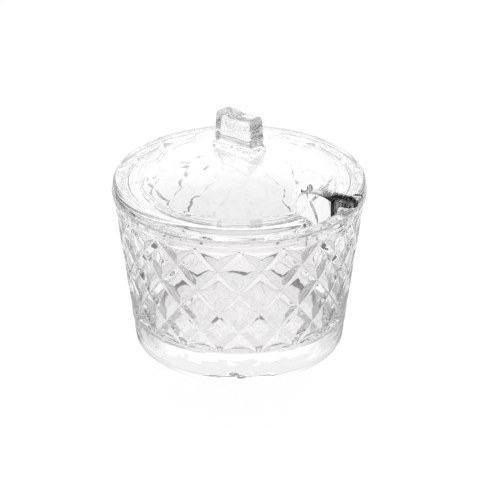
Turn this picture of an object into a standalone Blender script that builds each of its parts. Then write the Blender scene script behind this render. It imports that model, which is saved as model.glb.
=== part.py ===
"""Pressed-glass sugar bowl: a tapered bowl cut with diamond facets, and a loose lid with a spoon notch.

Metres, +Z up. The origin is the centre of the underside of the bowl, and the lid lies on the rim.
"""

import math

import bmesh
import bpy
from mathutils import Matrix

MM = 0.001
SEGMENTS = 72  # steps round each turned shape

# Bowl
RIM_RADIUS = 55.0 * MM
RIM_Z = 72.0 * MM
RIM_BAND = 2.4 * MM  # plain upright band below the rim
RIM_PROUD = 0.3 * MM  # how far the band stands out from the taper
BASE_RADIUS = 45.2 * MM  # where the taper would meet the underside
BASE_ROUND = 2.0 * MM
MOUTH_RADIUS = 47.4 * MM  # inner wall at the rim
FLOOR_RADIUS = 39.4 * MM  # inner wall at the floor
FLOOR_Z = 11.0 * MM
FLOOR_FILLET = 6.0 * MM
RIM_OUTER_ROUND = 0.8 * MM
RIM_INNER_ROUND = 2.8 * MM

# Diamond facets: rows of ridge crossings, each row half a diamond below the one above
FACETS_ROUND = 18
HALF_ROWS = 5
LATTICE_TOP_Z = 67.2 * MM
HALF_PITCH = 10.3 * MM
FACET_DEPTH = 1.3 * MM  # below the ridges, at a facet's centre
FACET_ABOVE = 0.2 * MM  # how far a cutter reaches outside the taper
RIDGE_HALF_WIDTH = 0.35 * MM
FACET_DRAFT = 1.2  # width of a facet's sloping border for each unit of its depth

# Lid
SEAT_GAP = 0.3 * MM  # between the rim and the flange that lies on it
LID_RADIUS = 54.5 * MM
FLANGE_THICK = 4.8 * MM
FLANGE_ROUND = 2.4 * MM
DOME_FOOT_RADIUS = 43.4 * MM
DOME_TOP_Z = 90.0 * MM
SHELL_THICK = 3.2 * MM
SKIRT_OUTER = 46.4 * MM  # below its fillet; the skirt tapers from there
SKIRT_OUTER_LOW = 45.8 * MM
SKIRT_INNER = 43.2 * MM
SKIRT_FILLET = 2.6 * MM  # between the skirt and the flange
SKIRT_DEPTH = 8.0 * MM
SKIRT_ROUND = 0.7 * MM

# Spoon notch in the edge of the lid, and the knob in line with it
NOTCH_AZIMUTH = math.radians(-40.0)
NOTCH_WIDTH = 23.0 * MM
NOTCH_END_RADIUS = 35.0 * MM  # from the lid's axis to the rounded inner end

KNOB_BASE = (22.0 * MM, 10.4 * MM)
KNOB_TOP = (19.8 * MM, 9.0 * MM)
KNOB_TOP_Z = 107.0 * MM
KNOB_SUNK = 2.2 * MM  # how far the block reaches into the dome
KNOB_FLARE = 1.2 * MM  # spread of its foot
KNOB_DISH = 1.3 * MM  # dip of its top face
KNOB_LOOPS = (0.58, 0.3)  # cage loops beside its upright edges, as shares of its half length and width


def clear_scene():
    for obj in list(bpy.data.objects):
        bpy.data.objects.remove(obj, do_unlink=True)


def new_collection(name):
    collection = bpy.data.collections.new(name)
    bpy.context.scene.collection.children.link(collection)
    return collection


def glass(name, tint):
    material = bpy.data.materials.new(name)
    material.use_nodes = True
    shader = material.node_tree.nodes["Principled BSDF"]
    shader.inputs["Base Color"].default_value = (*tint, 1.0)
    shader.inputs["Roughness"].default_value = 0.02
    shader.inputs["Metallic"].default_value = 0.0
    shader.inputs["IOR"].default_value = 1.52
    shader.inputs["Transmission Weight"].default_value = 1.0
    return material


def arc(centre_r, centre_z, radius, start_deg, end_deg, steps):
    """Points of an arc in the profile plane, angles from +r towards +z."""
    points = []
    for i in range(steps + 1):
        angle = math.radians(start_deg + (end_deg - start_deg) * i / steps)
        points.append((centre_r + radius * math.cos(angle), centre_z + radius * math.sin(angle)))
    return points


def turned(name, profile, material, collection):
    """A solid of revolution: the profile runs from the axis down the outer side and back to the axis."""
    mesh = bpy.data.meshes.new(name)
    edges = [(i, i + 1) for i in range(len(profile) - 1)]
    mesh.from_pydata([(r, 0.0, z) for r, z in profile], edges, [])
    mesh.materials.append(material)
    obj = bpy.data.objects.new(name, mesh)
    collection.objects.link(obj)
    screw = obj.modifiers.new("turn", "SCREW")
    screw.axis = "Z"
    screw.steps = SEGMENTS
    screw.render_steps = SEGMENTS
    screw.use_merge_vertices = True
    screw.merge_threshold = 0.00001
    screw.use_smooth_shade = True
    return obj


def mesh_object(name, bm, collection):
    mesh = bpy.data.meshes.new(name)
    bm.to_mesh(mesh)
    bm.free()
    obj = bpy.data.objects.new(name, mesh)
    collection.objects.link(obj)
    return obj


def as_helper(obj):
    obj.hide_render = True
    obj.display_type = "WIRE"
    return obj


def add_boolean(obj, operation, other):
    modifier = obj.modifiers.new(f"{operation.lower()}_{other.name}", "BOOLEAN")
    modifier.operation = operation
    modifier.solver = "EXACT"
    modifier.object = other


def taper_radius(z):
    return BASE_RADIUS + (RIM_RADIUS - RIM_PROUD - BASE_RADIUS) * z / RIM_Z


def bowl_profile():
    band_z = RIM_Z - RIM_BAND
    floor_corner = FLOOR_RADIUS - FLOOR_FILLET
    profile = [(0.0, FLOOR_Z), (floor_corner, FLOOR_Z)]
    profile += arc(floor_corner, FLOOR_Z + FLOOR_FILLET, FLOOR_FILLET, -90, 0, 4)[1:]
    profile += arc(MOUTH_RADIUS + RIM_INNER_ROUND, RIM_Z - RIM_INNER_ROUND, RIM_INNER_ROUND, 180, 90, 3)
    profile += arc(RIM_RADIUS - RIM_OUTER_ROUND, RIM_Z - RIM_OUTER_ROUND, RIM_OUTER_ROUND, 90, 0, 3)
    profile += [(RIM_RADIUS, band_z), (taper_radius(band_z), band_z - RIM_PROUD)]
    profile += [(taper_radius(BASE_ROUND), BASE_ROUND)]
    profile += arc(taper_radius(0.0) - BASE_ROUND, BASE_ROUND, BASE_ROUND, 0, -90, 3)[1:]
    profile += [(0.0, 0.0)]
    return profile


def facet_cutters(collection):
    """One frustum with a diamond outline for each facet, half of one along the top and bottom rows."""
    slope = math.atan2(taper_radius(RIM_Z) - taper_radius(0.0), RIM_Z)
    joined = bmesh.new()
    for row in range(HALF_ROWS + 1):
        z = LATTICE_TOP_Z - row * HALF_PITCH
        radius = taper_radius(z)
        wide = radius * math.sin(math.pi / FACETS_ROUND)
        tall = HALF_PITCH / math.cos(slope)
        inscribed = wide * tall / math.hypot(wide, tall)
        for column in range(FACETS_ROUND):
            offset = 0.5 if row % 2 == 0 else 0.0
            azimuth = -math.pi / 2 + (column + offset) * 2 * math.pi / FACETS_ROUND
            facet = bmesh.new()
            bmesh.ops.create_cone(
                facet, cap_ends=True, segments=4, radius1=1.0, radius2=1.0,
                depth=FACET_DEPTH + FACET_ABOVE,
            )
            for vert in facet.verts:
                above = vert.co.z + (FACET_ABOVE - FACET_DEPTH) / 2
                inset = RIDGE_HALF_WIDTH - FACET_DRAFT * above
                scale = (inscribed - inset) / inscribed
                vert.co = (vert.co.x * wide * scale, vert.co.y * tall * scale, above)
            keep_half(facet, row)
            outward = Matrix.Rotation(azimuth, 4, "Z")
            tilt = Matrix.Rotation(math.pi / 2 + slope, 4, "Y")
            upright = Matrix.Rotation(math.pi / 2, 4, "Z")
            place = outward @ Matrix.Translation((radius, 0.0, z)) @ tilt @ upright
            bmesh.ops.transform(facet, matrix=place, verts=facet.verts)
            piece = bpy.data.meshes.new("facet")
            facet.to_mesh(piece)
            facet.free()
            joined.from_mesh(piece)
            bpy.data.meshes.remove(piece)
    return as_helper(mesh_object("facet_cutters", joined, collection))


def keep_half(facet, row):
    """Cuts a facet of the first or last row along its middle, so that the pattern ends in a level line."""
    if 0 < row < HALF_ROWS:
        return
    side = 1.0 if row == 0 else -1.0
    everything = facet.verts[:] + facet.edges[:] + facet.faces[:]
    cut = bmesh.ops.bisect_plane(
        facet, geom=everything, plane_co=(0.0, -side * RIDGE_HALF_WIDTH, 0.0), plane_no=(0.0, side, 0.0),
        clear_outer=True,
    )
    rim = [edge for edge in cut["geom_cut"] if isinstance(edge, bmesh.types.BMEdge)]
    bmesh.ops.edgeloop_fill(facet, edges=rim)
    bmesh.ops.recalc_face_normals(facet, faces=facet.faces)


def dome_arc(thickness, edge_radius, steps):
    """The dome's outer surface, or its inner one a thickness below, from the axis out to edge_radius."""
    rise = DOME_TOP_Z - (RIM_Z + SEAT_GAP + FLANGE_THICK)
    sphere = (DOME_FOOT_RADIUS**2 + rise**2) / (2 * rise)
    centre_z = DOME_TOP_Z - sphere
    radius = sphere - thickness
    end = math.degrees(math.acos(edge_radius / radius))
    points = arc(0.0, centre_z, radius, 90, end, steps)
    points[0] = (0.0, points[0][1])
    return points


def lid_profile():
    seat_z = RIM_Z + SEAT_GAP
    top_z = seat_z + FLANGE_THICK
    low_z = seat_z - SKIRT_DEPTH
    edge = LID_RADIUS - FLANGE_ROUND
    profile = dome_arc(0.0, DOME_FOOT_RADIUS, 7)
    profile += arc(edge, top_z - FLANGE_ROUND, FLANGE_ROUND, 90, 0, 4)
    profile += [(LID_RADIUS, seat_z + 0.4 * MM), (LID_RADIUS - 0.4 * MM, seat_z)]
    profile += arc(SKIRT_OUTER + SKIRT_FILLET, seat_z - SKIRT_FILLET, SKIRT_FILLET, 90, 180, 3)
    profile += [(SKIRT_OUTER_LOW, low_z + SKIRT_ROUND), (SKIRT_OUTER_LOW - SKIRT_ROUND, low_z)]
    profile += [(SKIRT_INNER + SKIRT_ROUND, low_z), (SKIRT_INNER, low_z + SKIRT_ROUND)]
    profile += reversed(dome_arc(SHELL_THICK, SKIRT_INNER, 6))
    return profile


def notch_cutter(collection):
    """An upright prism with a rounded inner end, drawn out past the edge of the lid."""
    half = NOTCH_WIDTH / 2
    bm = bmesh.new()
    bmesh.ops.create_cone(bm, cap_ends=True, segments=32, radius1=half, radius2=half, depth=60 * MM)
    for vert in bm.verts:
        if vert.co.x > -0.001 * MM:
            vert.co.x += LID_RADIUS
    obj = as_helper(mesh_object("notch_cutter", bm, collection))
    centre = NOTCH_END_RADIUS + half
    obj.location = (centre * math.cos(NOTCH_AZIMUTH), centre * math.sin(NOTCH_AZIMUTH), RIM_Z)
    obj.rotation_euler = (0.0, 0.0, NOTCH_AZIMUTH)
    return obj


def knob_block(collection):
    """A soft-edged upright block with a flared foot and a dished, uneven top."""
    low_z = DOME_TOP_Z - KNOB_SUNK
    height = KNOB_TOP_Z - low_z
    bm = bmesh.new()
    bmesh.ops.create_cube(bm, size=2.0)
    bmesh.ops.subdivide_edges(bm, edges=bm.edges[:], cuts=3, use_grid_fill=True)
    for vert in bm.verts:
        across = [
            math.copysign(loop, c) if 0.25 < abs(c) < 0.75 else c for c, loop in zip(vert.co, KNOB_LOOPS)
        ]
        up = (vert.co.z + 1) / 2
        flare = KNOB_FLARE * max(0.0, 1 - up / 0.22) ** 2
        length = (KNOB_BASE[0] + (KNOB_TOP[0] - KNOB_BASE[0]) * up) / 2 + flare
        width = (KNOB_BASE[1] + (KNOB_TOP[1] - KNOB_BASE[1]) * up) / 2 + flare
        dish = KNOB_DISH * (1 - across[0] ** 2) * up**4
        vert.co = (across[0] * length, across[1] * width, up * height - dish)
    obj = as_helper(mesh_object("knob_block", bm, collection))
    obj.location = (0.0, 0.0, low_z)
    obj.rotation_euler = (0.0, 0.0, NOTCH_AZIMUTH)
    soften = obj.modifiers.new("soften", "SUBSURF")
    soften.levels = 1
    soften.render_levels = 1
    return obj


def main():
    clear_scene()
    parts = new_collection("sugar_bowl")
    cutters = new_collection("cutters")

    bowl = turned("bowl", bowl_profile(), glass("bowl_glass", (0.95, 0.95, 0.97)), parts)
    add_boolean(bowl, "DIFFERENCE", facet_cutters(cutters))

    lid = turned("lid", lid_profile(), glass("lid_glass", (0.97, 0.97, 0.98)), parts)
    add_boolean(lid, "DIFFERENCE", notch_cutter(cutters))
    add_boolean(lid, "UNION", knob_block(cutters))


main()
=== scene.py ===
import math

import bmesh
import bpy
from mathutils import Matrix, Vector, noise


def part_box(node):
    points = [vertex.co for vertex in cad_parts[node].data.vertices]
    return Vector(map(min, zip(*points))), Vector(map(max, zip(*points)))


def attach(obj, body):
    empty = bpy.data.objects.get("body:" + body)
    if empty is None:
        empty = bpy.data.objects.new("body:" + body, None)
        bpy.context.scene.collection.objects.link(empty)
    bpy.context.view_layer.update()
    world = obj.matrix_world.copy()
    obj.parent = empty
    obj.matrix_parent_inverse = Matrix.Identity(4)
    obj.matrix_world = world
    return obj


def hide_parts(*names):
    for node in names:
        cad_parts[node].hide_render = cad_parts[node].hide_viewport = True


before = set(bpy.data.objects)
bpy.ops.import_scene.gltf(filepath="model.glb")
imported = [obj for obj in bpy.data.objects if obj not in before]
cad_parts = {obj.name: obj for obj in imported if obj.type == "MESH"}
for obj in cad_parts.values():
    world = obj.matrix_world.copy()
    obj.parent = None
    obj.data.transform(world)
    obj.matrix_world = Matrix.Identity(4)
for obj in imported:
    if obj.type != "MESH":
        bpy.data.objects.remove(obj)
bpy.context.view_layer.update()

MM = 0.001

# The frame: everything below is placed from these boxes
bowl_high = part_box("bowl")[1]
lid_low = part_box("lid")[0]

# Bowl
RIM_RADIUS = bowl_high.x
RIM_Z = bowl_high.z
RIM_BAND = 2.4 * MM  # plain upright band below the rim
RIM_PROUD = 0.3 * MM  # how far the band stands out from the taper
BASE_RADIUS = 45.2 * MM  # where the taper would meet the underside
BASE_ROUND = 2.0 * MM
MOUTH_RADIUS = RIM_RADIUS - 7.6 * MM  # inner wall at the rim
FLOOR_RADIUS = 39.4 * MM  # inner wall at the floor
FLOOR_Z = 11.0 * MM
FLOOR_FILLET = 6.0 * MM
RIM_OUTER_ROUND = 0.8 * MM
RIM_INNER_ROUND = 2.8 * MM

# Diamond facets
FACETS_ROUND = 18
HALF_ROWS = 5
LATTICE_TOP_Z = RIM_Z - 4.8 * MM
HALF_PITCH = 10.3 * MM
LATTICE_LOW_Z = LATTICE_TOP_Z - HALF_ROWS * HALF_PITCH
FACET_DEPTH = 1.3 * MM
RIDGE_HALF_WIDTH = 0.35 * MM
FACET_DRAFT = 2.0  # width of a facet's sloping border for each unit of its depth
FACET_SOFTNESS = 0.12 * MM
GROOVE_WIDTH = 1.6 * MM  # of the line below the facets
GROOVE_DEPTH = 0.45 * MM
FRONT = -math.pi / 2  # the azimuth of the lattice column that faces the camera

# Lid
SEAT_GAP = 0.3 * MM
LID_RADIUS = -lid_low.x
FLANGE_THICK = 4.8 * MM
FLANGE_ROUND = 2.4 * MM
DOME_FOOT_RADIUS = 43.4 * MM
DOME_TOP_Z = 90.0 * MM
SHELL_THICK = 3.2 * MM
SKIRT_OUTER = 46.4 * MM
SKIRT_OUTER_LOW = 45.8 * MM
SKIRT_INNER = 43.2 * MM
SKIRT_FILLET = 2.6 * MM
SKIRT_DEPTH = 8.0 * MM
SKIRT_ROUND = 0.7 * MM

# Spoon notch and knob
NOTCH_AZIMUTH = math.radians(-40.0)
NOTCH_WIDTH = 23.0 * MM
NOTCH_END_RADIUS = 35.0 * MM
NOTCH_CORNER = 4.0 * MM  # rounding of the corners where the notch meets the lid's edge
NOTCH_ROUND = 3.2 * MM  # rounding of its upper edge
NOTCH_OUT = 12.0 * MM  # how far its cutter reaches past the lid's edge
NOTCH_LOW_Z = 55.0 * MM  # where the cutter begins and ends
NOTCH_HIGH_Z = 120.0 * MM
NOTCH_LIP_SPREAD = 0.47 * MM  # last widening of the cutter, which takes it out of the lid's upper side
NOTCH_LIP_RISE = 0.17 * MM
KNOB_BASE = (22.0 * MM, 10.4 * MM)
KNOB_TOP = (19.8 * MM, 9.0 * MM)
KNOB_TOP_Z = 106.8 * MM
KNOB_SUNK = 2.2 * MM
KNOB_FLARE = 1.2 * MM
KNOB_FLARE_TOP = 0.22  # share of its height over which its foot flares
KNOB_DISH = 1.3 * MM
KNOB_LOOPS = (0.58, 0.3)  # cage loops beside its upright edges, as shares of its half length and width
KNOB_SMOOTHING = 4
LID_STEPS = 240  # steps round the turned lid
SHARP_ANGLE = math.radians(35.0)

# Uneven surface
RIPPLE_HEIGHT = 0.15 * MM
RIPPLE_LENGTH = 9.5 * MM
BAND_RIPPLE_HEIGHT = 0.2 * MM  # of the plain band below the facets
BAND_RIPPLE_LENGTH = 5.0 * MM
KNOB_RIPPLE_HEIGHT = 0.2 * MM
KNOB_RIPPLE_LENGTH = 11.0 * MM
FOOT_BEAD = 0.45 * MM  # height of the roll round the knob's foot, and depth of the groove above it
FOOT_BEAD_TOP = 5.0 * MM  # height above the dome at which the groove ends
RIPPLE_FADE = 3.0 * MM  # length over which a ripple fades out
FINE_RIPPLE = 0.5  # height of the finer ripples, as a share of the coarse ones
FINER = 2.3  # how many times closer together they are

# Glass
GLASS_IOR = 1.52
GLASS_DEPTH_COLOUR = (0.0, 0.03, 0.0)
GLASS_DENSITY = 1.0  # per metre of glass
BOWL_TINTS = ((0.961, 0.953, 0.960), (0.975, 0.968, 0.973))
LID_TINTS = ((0.975, 0.970, 0.974), (0.985, 0.982, 0.984))
TINT_PATCHES = 30.0  # per metre
WAVE_SCALE = 240.0  # fine waves left by the mould, per metre
WAVE_HEIGHT = 0.004 * MM
WEAR_SCALE = 900.0
WEAR_RANGE = (0.5, 0.8)  # of its noise, from clear to worn
WEAR_ROUGHNESS = 0.02

# Studio
SWEEP_BRIGHTNESS = 1.05  # the white paper behind the object
ROOM_LOW = 1.0  # the rest of the surroundings, near the horizon
ROOM_HIGH = 0.15  # and above
FLAG_FADE = (0.86, 0.92)  # into the grey flags at either side, as the sideways share of a direction
FLAG_SHADE = 0.3
ROOM_FADE = (0.25, 0.6)  # from low to high, as the upward share of a direction
SWEEP_FADE = (0.0, 0.75)  # from the sides to the sweep, as the backward share of a direction
LAMP_ELEVATION = math.radians(32.0)
LAMP_FADE = (0.79, 0.98)  # from the edge to the middle of the lamp, as the cosine of the angle to it
LAMP_GLOW = 0.7
FLOOR_SIZE = 40.0
FLOOR_DEPTH = 0.2 * MM  # below the bowl, so that the two don't touch
FLOOR_GLOW = 0.96
FLOOR_PAPER = 0.1  # brightness of the paper itself under the light
CARD_STEPS = 48
CARD_DEPTH = 0.1 * MM  # of the first card below the bowl; each of the others lies a little lower
CARD_STEP_DOWN = 0.01 * MM
# Name, azimuth from the camera's side towards +X, width in degrees, inner and outer radius, brightness
CARDS_AND_PAINTED_SHADOWS = (
    ("card_left", -90.0, 60.0, 50.0 * MM, 100.0 * MM, 0.6),
    ("card_right", 90.0, 60.0, 50.0 * MM, 100.0 * MM, 0.5),
    ("card_front_left", -45.0, 45.0, 75.0 * MM, 200.0 * MM, 0.2),
    ("card_front_right", 45.0, 45.0, 75.0 * MM, 200.0 * MM, 0.2),
    ("card_front", 0.0, 45.0, 75.0 * MM, 200.0 * MM, 0.6),
    # Painted shadow: a darker glowing disc under the bowl, seen only through the glass, in place of the
    # shade the bowl casts on the floor
    ("painted_shadow_under_bowl", 0.0, 360.0, 1.0 * MM, 43.0 * MM, 0.86),
    ("card_far_left", -90.0, 90.0, 170.0 * MM, 420.0 * MM, 0.25),
    ("card_far_right", 90.0, 90.0, 170.0 * MM, 420.0 * MM, 0.2),
    # Painted shadow: a dark glowing ring under and round the edge of the bowl's base, seen only through
    # the glass, in place of the shade where the base meets the floor
    ("painted_shadow_round_base", 0.0, 360.0, 43.2 * MM, 49.0 * MM, 0.25),
)
LIGHT_BOUNCES = 32
INNER_REFLECTIONS = 18  # light caught in the glass for longer is lost; set for the dark notch

# Camera
CAMERA_ELEVATION = math.radians(26.6)
CAMERA_DISTANCE = 1.2
CAMERA_TARGET = Vector((0.0003, 0.0, 0.0459))
CAMERA_LENS = 206.7
CAMERA_CLIP = 0.01


def arc(centre_r, centre_z, radius, start_deg, end_deg, steps):
    """Points of an arc in the profile plane, angles from +r towards +z."""
    points = []
    for i in range(steps + 1):
        angle = math.radians(start_deg + (end_deg - start_deg) * i / steps)
        points.append((centre_r + radius * math.cos(angle), centre_z + radius * math.sin(angle)))
    return points


def straight(start, end, steps):
    """Points after start, up to end."""
    return [tuple(a + (b - a) * i / steps for a, b in zip(start, end)) for i in range(1, steps + 1)]


def clamp(value):
    return min(1.0, max(0.0, value))


def taper_radius(z):
    return BASE_RADIUS + (RIM_RADIUS - RIM_PROUD - BASE_RADIUS) * z / RIM_Z


def add_sweep(bm, ring, azimuths, profile):
    """Adds a turned surface that starts on a ring of vertices and follows the profile to the axis."""
    count = len(ring)
    for r, z in profile[:-1]:
        following = [bm.verts.new((r * math.cos(a), r * math.sin(a), z)) for a in azimuths]
        for i in range(count):
            j = (i + 1) % count
            bm.faces.new((ring[i], ring[j], following[j], following[i]))
        ring = following
    pole = bm.verts.new((0.0, 0.0, profile[-1][1]))
    for i in range(count):
        bm.faces.new((ring[i], ring[(i + 1) % count], pole))


# ---------------------------------------------------------------- bowl

def facet_steps():
    """Places across a facet from ridge to ridge, 0 to 1, close together on the flanks of the ridges."""
    half = [0.0, 0.013, 0.026, 0.039, 0.055, 0.08, 0.12, 0.155, 0.18, 0.205, 0.235, 0.28, 0.37]
    return half + [0.5] + [1 - t for t in reversed(half)]


def facet_depth(a, b, row, radius):
    """How far below the ridges the wall lies at the place (a, b) of the facet in this row."""
    wide = radius * math.sin(math.pi / FACETS_ROUND)
    across = 2 * wide * HALF_PITCH / math.hypot(wide, HALF_PITCH)
    edge = across * min(a, 1 - a, b, 1 - b)
    if row == 0:
        edge = min(edge, (a - b) * HALF_PITCH)
    if row == HALF_ROWS:
        edge = min(edge, (b - a) * HALF_PITCH)
    border = (edge - RIDGE_HALF_WIDTH) / FACET_DRAFT
    border = (border + math.hypot(border, FACET_SOFTNESS)) / 2
    turn = (a + b - 1) * math.pi / FACETS_ROUND
    floor = FACET_DEPTH - radius * (1 - math.cos(turn))
    return (border + floor - math.hypot(border - floor, FACET_SOFTNESS)) / 2


def build_lattice(bm):
    """Adds the band of facets. Returns its top and bottom rings of vertices with their azimuths."""
    steps = facet_steps()
    n = len(steps) - 1
    slope = math.atan2(taper_radius(RIM_Z) - taper_radius(0.0), RIM_Z)
    half_turn = math.pi / FACETS_ROUND
    verts = {}

    def vertex(i, k, j, m, row):
        down, up = i * n + k, j * n + m
        lap = up // (FACETS_ROUND * n)
        key = (down - lap * FACETS_ROUND * n, up - lap * FACETS_ROUND * n)
        if key not in verts:
            a, b = steps[k], steps[m]
            u, v = i + a, j + b
            azimuth = FRONT + (u + v) * half_turn
            z = LATTICE_TOP_Z - (u - v) * HALF_PITCH
            radius = taper_radius(z)
            depth = facet_depth(a, b, row, radius)
            r = radius - depth * math.cos(slope)
            z += depth * math.sin(slope)
            verts[key] = bm.verts.new((r * math.cos(azimuth), r * math.sin(azimuth), z))
        return verts[key]

    for row in range(HALF_ROWS + 1):
        for j in range(FACETS_ROUND):
            i = j + row
            for k in range(n):
                for m in range(n):
                    corners = [(k, m), (k + 1, m), (k + 1, m + 1), (k, m + 1)]
                    if row == 0:
                        corners = [c for c in corners if c[0] >= c[1]]
                    if row == HALF_ROWS:
                        corners = [c for c in corners if c[0] <= c[1]]
                    if len(corners) >= 3:
                        bm.faces.new([vertex(i, c[0], j, c[1], row) for c in corners])

    rings = []
    for row in (0, HALF_ROWS):
        ring, azimuths = [], []
        for j in range(FACETS_ROUND):
            for k in range(n):
                ring.append(vertex(j + row, k, j, k, row))
                azimuths.append(FRONT + (2 * j + row + 2 * steps[k]) * half_turn)
        rings.append((ring, azimuths))
    return rings


def bowl_upper_profile():
    band_z = RIM_Z - RIM_BAND
    floor_corner = FLOOR_RADIUS - FLOOR_FILLET
    start = (taper_radius(LATTICE_TOP_Z), LATTICE_TOP_Z)
    points = straight(start, (taper_radius(band_z - RIM_PROUD), band_z - RIM_PROUD), 3)
    points += straight(points[-1], (RIM_RADIUS, band_z + 0.1 * MM), 3)
    points += straight(points[-1], (RIM_RADIUS, RIM_Z - RIM_OUTER_ROUND), 3)
    points += arc(RIM_RADIUS - RIM_OUTER_ROUND, RIM_Z - RIM_OUTER_ROUND, RIM_OUTER_ROUND, 0, 90, 8)[1:]
    mouth_corner = MOUTH_RADIUS + RIM_INNER_ROUND
    points += straight(points[-1], (mouth_corner, RIM_Z), 4)
    points += arc(mouth_corner, RIM_Z - RIM_INNER_ROUND, RIM_INNER_ROUND, 90, 180, 10)[1:]
    points += straight(points[-1], (FLOOR_RADIUS, FLOOR_Z + FLOOR_FILLET), 40)
    points += arc(floor_corner, FLOOR_Z + FLOOR_FILLET, FLOOR_FILLET, 0, -90, 12)[1:]
    points += straight(points[-1], (0.0, FLOOR_Z), 24)
    return points


def bowl_lower_profile():
    points = []
    for i in range(1, 9):
        z = LATTICE_LOW_Z - GROOVE_WIDTH * i / 8
        points.append((taper_radius(z) - GROOVE_DEPTH * (1 - math.cos(2 * math.pi * i / 8)) / 2, z))
    points += straight(points[-1], (taper_radius(BASE_ROUND), BASE_ROUND), 22)
    points += arc(taper_radius(0.0) - BASE_ROUND, BASE_ROUND, BASE_ROUND, 0, -90, 8)[1:]
    points += straight(points[-1], (0.0, 0.0), 20)
    return points


def ripple(mesh, height, length, share):
    """The uneven surface of pressed glass: each point moves along its normal by its share of height."""
    moves = []
    for vert in mesh.vertices:
        wave = noise.noise(vert.co / length) + FINE_RIPPLE * noise.noise(vert.co * FINER / length)
        moves.append(vert.normal * (height * share(vert) * wave))
    for vert, move in zip(mesh.vertices, moves):
        vert.co += move


def finish_mesh(bm, name, material):
    bmesh.ops.recalc_face_normals(bm, faces=bm.faces)
    mesh = bpy.data.meshes.new(name)
    bm.to_mesh(mesh)
    bm.free()
    mesh.materials.append(material)
    mesh.shade_smooth()
    obj = bpy.data.objects.new(name, mesh)
    bpy.context.scene.collection.objects.link(obj)
    return obj


def inside_share(vert):
    """1 on the inside of the bowl, and 0 on its rim and its outside."""
    radius = math.hypot(vert.co.x, vert.co.y)
    within = radius < min(MOUTH_RADIUS - 1 * MM, taper_radius(vert.co.z) - 3 * MM)
    return 1.0 if within and FLOOR_Z - 1 * MM < vert.co.z < RIM_Z - 5 * MM else 0.0


def band_share(vert):
    """1 in the middle of the plain band below the facets, down to 0 at its edges and on the rest."""
    radius = math.hypot(vert.co.x, vert.co.y)
    if radius < taper_radius(vert.co.z) - 1 * MM:
        return 0.0
    inwards = min(vert.co.z - 2 * BASE_ROUND, LATTICE_LOW_Z - vert.co.z)
    return clamp(inwards / RIPPLE_FADE)


def build_bowl(material):
    bm = bmesh.new()
    (top_ring, top_azimuths), (low_ring, low_azimuths) = build_lattice(bm)
    add_sweep(bm, top_ring, top_azimuths, bowl_upper_profile())
    add_sweep(bm, low_ring, low_azimuths, bowl_lower_profile())
    bowl = finish_mesh(bm, "bowl_cut_glass", material)
    ripple(bowl.data, RIPPLE_HEIGHT, RIPPLE_LENGTH, inside_share)
    ripple(bowl.data, BAND_RIPPLE_HEIGHT, BAND_RIPPLE_LENGTH, band_share)
    return bowl


# ---------------------------------------------------------------- lid

def dome_arc(thickness, edge_radius, steps):
    """The dome's outer surface, or its inner one a thickness below, from the axis out to edge_radius."""
    rise = DOME_TOP_Z - (RIM_Z + SEAT_GAP + FLANGE_THICK)
    sphere = (DOME_FOOT_RADIUS**2 + rise**2) / (2 * rise)
    radius = sphere - thickness
    end = math.degrees(math.acos(edge_radius / radius))
    points = arc(0.0, DOME_TOP_Z - sphere, radius, 90, end, steps)
    points[0] = (0.0, points[0][1])
    return points


def lid_profile():
    seat_z = RIM_Z + SEAT_GAP
    top_z = seat_z + FLANGE_THICK
    low_z = seat_z - SKIRT_DEPTH
    edge = LID_RADIUS - FLANGE_ROUND
    profile = dome_arc(0.0, DOME_FOOT_RADIUS, 48)
    profile += straight(profile[-1], (edge, top_z), 10)
    profile += arc(edge, top_z - FLANGE_ROUND, FLANGE_ROUND, 90, 0, 12)[1:]
    profile += straight(profile[-1], (LID_RADIUS, seat_z + 0.4 * MM), 3)
    profile += arc(LID_RADIUS - 0.4 * MM, seat_z + 0.4 * MM, 0.4 * MM, 0, -90, 4)[1:]
    profile += straight(profile[-1], (SKIRT_OUTER + SKIRT_FILLET, seat_z), 6)
    profile += arc(SKIRT_OUTER + SKIRT_FILLET, seat_z - SKIRT_FILLET, SKIRT_FILLET, 90, 180, 8)[1:]
    profile += straight(profile[-1], (SKIRT_OUTER_LOW, low_z + SKIRT_ROUND), 6)
    profile += arc(SKIRT_OUTER_LOW - SKIRT_ROUND, low_z + SKIRT_ROUND, SKIRT_ROUND, 0, -90, 5)[1:]
    profile += arc(SKIRT_INNER + SKIRT_ROUND, low_z + SKIRT_ROUND, SKIRT_ROUND, -90, -180, 5)[1:]
    inner = list(reversed(dome_arc(SHELL_THICK, SKIRT_INNER, 48)))
    profile += straight(profile[-1], inner[0], 10)
    profile += inner[1:]
    return profile


def turned(profile, steps):
    """A turned solid from a profile that runs from the axis down the outside and back to the axis."""
    bm = bmesh.new()
    azimuths = [2 * math.pi * i / steps for i in range(steps)]
    first = profile[1]
    top = bm.verts.new((0.0, 0.0, profile[0][1]))
    ring = [bm.verts.new((first[0] * math.cos(a), first[0] * math.sin(a), first[1])) for a in azimuths]
    for i in range(steps):
        bm.faces.new((ring[i], ring[(i + 1) % steps], top))
    add_sweep(bm, ring, azimuths, profile[2:])
    return bm


def lid_top(radius):
    """Height of the lid's upper side at this distance from the axis, without the knob."""
    top_z = RIM_Z + SEAT_GAP + FLANGE_THICK
    edge = LID_RADIUS - FLANGE_ROUND
    if radius < DOME_FOOT_RADIUS:
        rise = DOME_TOP_Z - top_z
        sphere = (DOME_FOOT_RADIUS**2 + rise**2) / (2 * rise)
        return DOME_TOP_Z - sphere + math.sqrt(sphere**2 - radius**2)
    if radius < edge:
        return top_z
    over = min(radius - edge, FLANGE_ROUND)
    return top_z - FLANGE_ROUND + math.sqrt(FLANGE_ROUND**2 - over**2)


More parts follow.
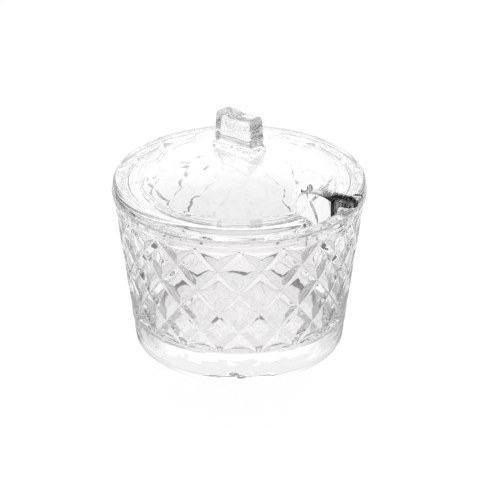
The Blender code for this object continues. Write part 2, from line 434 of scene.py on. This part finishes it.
def notch_outline():
    """Points of the notch in plan, each with its direction into the lid. The notch opens along +X."""
    half = NOTCH_WIDTH / 2
    centre = NOTCH_END_RADIUS + half
    corner_y = half + NOTCH_CORNER
    corner_x = math.sqrt((LID_RADIUS - NOTCH_CORNER) ** 2 - corner_y**2)
    upper = []
    for i in range(25):
        angle = math.radians(180 - 90 * i / 24)
        into = (math.cos(angle), math.sin(angle))
        upper.append(((centre + half * into[0], half * into[1]), into))
    for i in range(1, 5):
        upper.append(((centre + (corner_x - centre) * i / 5, half), (0.0, 1.0)))
    for i in range(9):
        angle = math.radians(-90 + 82 * i / 8)
        point = (corner_x + NOTCH_CORNER * math.cos(angle), corner_y + NOTCH_CORNER * math.sin(angle))
        upper.append((point, (-math.cos(angle), -math.sin(angle))))
    (x, y), into = upper[-1]
    upper.append(((x + into[1] * 6 * MM, y - into[0] * 6 * MM), into))
    upper.append(((LID_RADIUS + NOTCH_OUT, upper[-1][0][1]), into))
    lower = [((px, -py), (nx, -ny)) for (px, py), (nx, ny) in upper[1:]]
    return list(reversed(lower)) + upper


def notch_cutter():
    """The notch as a solid. Its sides flare at the top, which leaves the lid's edge there rounded."""
    outline = notch_outline()
    levels = [(0.0, None, NOTCH_LOW_Z)]
    for i in range(9):
        angle = math.radians(70 * i / 8)
        levels.append((NOTCH_ROUND * (1 - math.cos(angle)), NOTCH_ROUND * (math.sin(angle) - 1), 0.0))
    spread, drop, _ = levels[-1]
    levels.append((spread + NOTCH_LIP_SPREAD, drop + NOTCH_LIP_RISE, 0.0))
    levels.append((spread + NOTCH_LIP_SPREAD, None, NOTCH_HIGH_Z))
    bm = bmesh.new()
    rows = []
    for spread, drop, height in levels:
        row = []
        for (x, y), (nx, ny) in outline:
            px, py = x + nx * spread, y + ny * spread
            z = height if drop is None else lid_top(math.hypot(px, py)) + drop
            row.append(bm.verts.new((px, py, z)))
        rows.append(row)
    count = len(outline)
    for low, high in zip(rows, rows[1:]):
        for i in range(count):
            j = (i + 1) % count
            bm.faces.new((low[i], low[j], high[j], high[i]))
    bm.faces.new(rows[0])
    bm.faces.new(rows[-1])
    bmesh.ops.transform(bm, matrix=Matrix.Rotation(NOTCH_AZIMUTH, 4, "Z"), verts=bm.verts)
    return bm


def knob_block():
    """The cage of a soft-edged upright block with a flared foot and a dished top."""
    low_z = DOME_TOP_Z - KNOB_SUNK
    height = KNOB_TOP_Z - low_z
    bm = bmesh.new()
    bmesh.ops.create_cube(bm, size=2.0)
    bmesh.ops.subdivide_edges(bm, edges=bm.edges[:], cuts=3, use_grid_fill=True)
    for vert in bm.verts:
        across = [
            math.copysign(loop, c) if 0.25 < abs(c) < 0.75 else c for c, loop in zip(vert.co, KNOB_LOOPS)
        ]
        up = (vert.co.z + 1) / 2
        flare = KNOB_FLARE * max(0.0, 1 - up / KNOB_FLARE_TOP) ** 2
        length = (KNOB_BASE[0] + (KNOB_TOP[0] - KNOB_BASE[0]) * up) / 2 + flare
        width = (KNOB_BASE[1] + (KNOB_TOP[1] - KNOB_BASE[1]) * up) / 2 + flare
        dish = KNOB_DISH * (1 - across[0] ** 2) * up**4
        vert.co = (across[0] * length, across[1] * width, up * height - dish)
    place = Matrix.Translation((0.0, 0.0, low_z)) @ Matrix.Rotation(NOTCH_AZIMUTH, 4, "Z")
    bmesh.ops.transform(bm, matrix=place, verts=bm.verts)
    return bm


def dome_share(vert):
    """1 on both sides of the dome and on the knob, down to 0 on the flange and the skirt."""
    radius = math.hypot(vert.co.x, vert.co.y)
    return clamp((SKIRT_INNER - 1.5 * MM - radius) / (4 * MM))


def knob_share(vert):
    """0 at the foot of the knob, 1 from a little above it."""
    return clamp((vert.co.z - DOME_TOP_Z) / RIPPLE_FADE)


def roll_foot(mesh):
    """Shapes a soft roll with a groove above it round the foot of the knob."""
    moves = []
    for vert in mesh.vertices:
        up = (vert.co.z - DOME_TOP_Z) / FOOT_BEAD_TOP
        size = FOOT_BEAD * math.sin(2 * math.pi * up) if 0 < up < 1 else 0.0
        moves.append(Vector((vert.normal.x, vert.normal.y, 0.0)) * size)
    for vert, move in zip(mesh.vertices, moves):
        vert.co += move


def build_lid(material):
    lid = finish_mesh(turned(lid_profile(), LID_STEPS), "lid_pressed_glass", material)
    cutter = finish_mesh(notch_cutter(), "notch_cutter", material)
    knob = finish_mesh(knob_block(), "knob_block", material)
    soften = knob.modifiers.new("soften", "SUBSURF")
    soften.levels = KNOB_SMOOTHING
    soften.render_levels = KNOB_SMOOTHING
    for operation, other in (("DIFFERENCE", cutter), ("UNION", knob)):
        modifier = lid.modifiers.new(operation, "BOOLEAN")
        modifier.operation = operation
        modifier.object = other
    bpy.context.view_layer.update()
    graph = bpy.context.evaluated_depsgraph_get()
    mesh = bpy.data.meshes.new_from_object(lid.evaluated_get(graph))
    lid.modifiers.clear()
    lid.data = mesh
    for helper in (cutter, knob):
        bpy.data.objects.remove(helper, do_unlink=True)
    roll_foot(mesh)
    ripple(mesh, RIPPLE_HEIGHT, RIPPLE_LENGTH, dome_share)
    ripple(mesh, KNOB_RIPPLE_HEIGHT, KNOB_RIPPLE_LENGTH, knob_share)
    mesh.shade_smooth()
    mesh.set_sharp_from_angle(angle=SHARP_ANGLE)
    return lid


# ---------------------------------------------------------------- materials and stage

def clear_glass(name, tints):
    """Clear pressed glass: patches of faint tint, fine waves left by the mould, and a little wear."""
    material = bpy.data.materials.new(name)
    material.use_nodes = True
    nodes, links = material.node_tree.nodes, material.node_tree.links
    shader = nodes["Principled BSDF"]
    shader.inputs["IOR"].default_value = GLASS_IOR
    shader.inputs["Transmission Weight"].default_value = 1.0
    place = nodes.new("ShaderNodeTexCoord").outputs["Object"]

    def pattern(scale, detail):
        node = nodes.new("ShaderNodeTexNoise")
        node.inputs["Scale"].default_value = scale
        node.inputs["Detail"].default_value = detail
        links.new(place, node.inputs["Vector"])
        return node.outputs["Fac"]

    tint = nodes.new("ShaderNodeMix")
    tint.data_type = "RGBA"
    tint.inputs["A"].default_value = (*tints[0], 1.0)
    tint.inputs["B"].default_value = (*tints[1], 1.0)
    links.new(pattern(TINT_PATCHES, 2.0), tint.inputs["Factor"])
    links.new(tint.outputs["Result"], shader.inputs["Base Color"])

    wear = nodes.new("ShaderNodeMapRange")
    wear.inputs["From Min"].default_value = WEAR_RANGE[0]
    wear.inputs["From Max"].default_value = WEAR_RANGE[1]
    wear.inputs["To Max"].default_value = WEAR_ROUGHNESS
    links.new(pattern(WEAR_SCALE, 4.0), wear.inputs["Value"])
    links.new(wear.outputs["Result"], shader.inputs["Roughness"])

    waves = nodes.new("ShaderNodeBump")
    waves.inputs["Strength"].default_value = 1.0
    waves.inputs["Distance"].default_value = WAVE_HEIGHT
    links.new(pattern(WAVE_SCALE, 1.0), waves.inputs["Height"])
    links.new(waves.outputs["Normal"], shader.inputs["Normal"])

    absorption = nodes.new("ShaderNodeVolumeAbsorption")
    absorption.inputs["Color"].default_value = (*GLASS_DEPTH_COLOUR, 1.0)
    absorption.inputs["Density"].default_value = GLASS_DENSITY
    links.new(absorption.outputs["Volume"], nodes["Material Output"].inputs["Volume"])
    return material


def build_world():
    """White paper behind the object, a soft lamp in it, and a room darker above and at the sides."""
    world = bpy.data.worlds.new("studio")
    bpy.context.scene.world = world
    world.use_nodes = True
    nodes, links = world.node_tree.nodes, world.node_tree.links
    direction = nodes.new("ShaderNodeTexCoord").outputs["Generated"]
    parts = nodes.new("ShaderNodeSeparateXYZ")
    towards_lamp = nodes.new("ShaderNodeVectorMath")
    towards_lamp.operation = "DOT_PRODUCT"
    towards_lamp.inputs[1].default_value = (0.0, math.cos(LAMP_ELEVATION), math.sin(LAMP_ELEVATION))
    links.new(direction, parts.inputs["Vector"])
    links.new(direction, towards_lamp.inputs[0])

    def fade(value, between, low, high):
        """Goes smoothly from low to high as the value goes from one end of between to the other."""
        node = nodes.new("ShaderNodeMapRange")
        node.interpolation_type = "SMOOTHSTEP"
        numbers = {"From Min": between[0], "From Max": between[1], "To Min": low, "To Max": high}
        for socket, number in numbers.items():
            node.inputs[socket].default_value = number
        links.new(value, node.inputs["Value"])
        return node

    def reckon(operation, *values):
        node = nodes.new("ShaderNodeMath")
        node.operation = operation
        for socket, value in zip(node.inputs, values):
            links.new(value, socket)
        return node.outputs["Value"]

    room = fade(parts.outputs["Z"], ROOM_FADE, ROOM_LOW, ROOM_HIGH)
    sweep = fade(parts.outputs["Y"], SWEEP_FADE, ROOM_LOW, SWEEP_BRIGHTNESS)
    links.new(room.outputs["Result"], sweep.inputs["To Min"])
    lamp = fade(towards_lamp.outputs["Value"], LAMP_FADE, 0.0, LAMP_GLOW)
    flags = fade(reckon("ABSOLUTE", parts.outputs["X"]), FLAG_FADE, 1.0, FLAG_SHADE)
    total = reckon("ADD", sweep.outputs["Result"], lamp.outputs["Result"])
    shaded = reckon("MULTIPLY", total, flags.outputs["Result"])
    links.new(shaded, nodes["Background"].inputs["Strength"])
    nodes["Background"].inputs["Color"].default_value = (1.0, 1.0, 1.0, 1.0)


def glowing_paper(name, glow, paper):
    """Paper of the given brightness that also glows, like the top of a light table. With a lower glow it
    also makes the painted shadows on the floor below the bowl.
    """
    material = bpy.data.materials.new(name)
    material.use_nodes = True
    shader = material.node_tree.nodes["Principled BSDF"]
    shader.inputs["Base Color"].default_value = (paper, paper, paper, 1.0)
    shader.inputs["Roughness"].default_value = 1.0
    shader.inputs["Specular IOR Level"].default_value = 0.0
    shader.inputs["Emission Color"].default_value = (1.0, 1.0, 1.0, 1.0)
    shader.inputs["Emission Strength"].default_value = glow
    return material


def build_floor():
    bpy.ops.mesh.primitive_plane_add(size=FLOOR_SIZE, location=(0.0, 0.0, -FLOOR_DEPTH))
    floor = bpy.context.object
    floor.name = "floor"
    floor.data.materials.append(glowing_paper("floor_paper", FLOOR_GLOW, FLOOR_PAPER))


def build_card_or_painted_shadow(depth, name, azimuth, width, inner, outer, brightness):
    """A grey card on the floor, or a painted shadow on it below the bowl. Only the glass sees it, not
    the camera, and so gets its dark lines.
    """
    bm = bmesh.new()
    down = Vector((0.0, 0.0, -depth))
    spokes = []
    for i in range(CARD_STEPS + 1):
        angle = math.radians(azimuth + width * (i / CARD_STEPS - 0.5))
        side = Vector((math.sin(angle), -math.cos(angle), 0.0))
        spokes.append([bm.verts.new(side * inner + down), bm.verts.new(side * outer + down)])
    for (a, b), (d, c) in zip(spokes, spokes[1:]):
        bm.faces.new((a, b, c, d))
    card = finish_mesh(bm, name, glowing_paper(name, brightness, 0.0))
    card.visible_camera = False
    card.visible_shadow = False
    card.visible_diffuse = False


def build_camera():
    data = bpy.data.cameras.new("camera")
    data.lens = CAMERA_LENS
    data.clip_start = CAMERA_CLIP
    camera = bpy.data.objects.new("camera", data)
    away = Vector((0.0, -math.cos(CAMERA_ELEVATION), math.sin(CAMERA_ELEVATION)))
    camera.location = CAMERA_TARGET + away * CAMERA_DISTANCE
    camera.rotation_euler = (-away).to_track_quat("-Z", "Y").to_euler()
    bpy.context.scene.collection.objects.link(camera)
    bpy.context.scene.camera = camera


# ---------------------------------------------------------------- making

build_camera()
build_world()
build_floor()
for level, card in enumerate(CARDS_AND_PAINTED_SHADOWS):
    build_card_or_painted_shadow(CARD_DEPTH + level * CARD_STEP_DOWN, *card)
scene = bpy.context.scene
scene.view_settings.view_transform = "Standard"
scene.cycles.max_bounces = LIGHT_BOUNCES
scene.cycles.transmission_bounces = LIGHT_BOUNCES
scene.cycles.glossy_bounces = INNER_REFLECTIONS

bowl = build_bowl(clear_glass("bowl_glass", BOWL_TINTS))
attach(bowl, "bowl")
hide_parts("bowl")

lid = build_lid(clear_glass("lid_glass", LID_TINTS))
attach(lid, "lid")
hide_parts("lid")
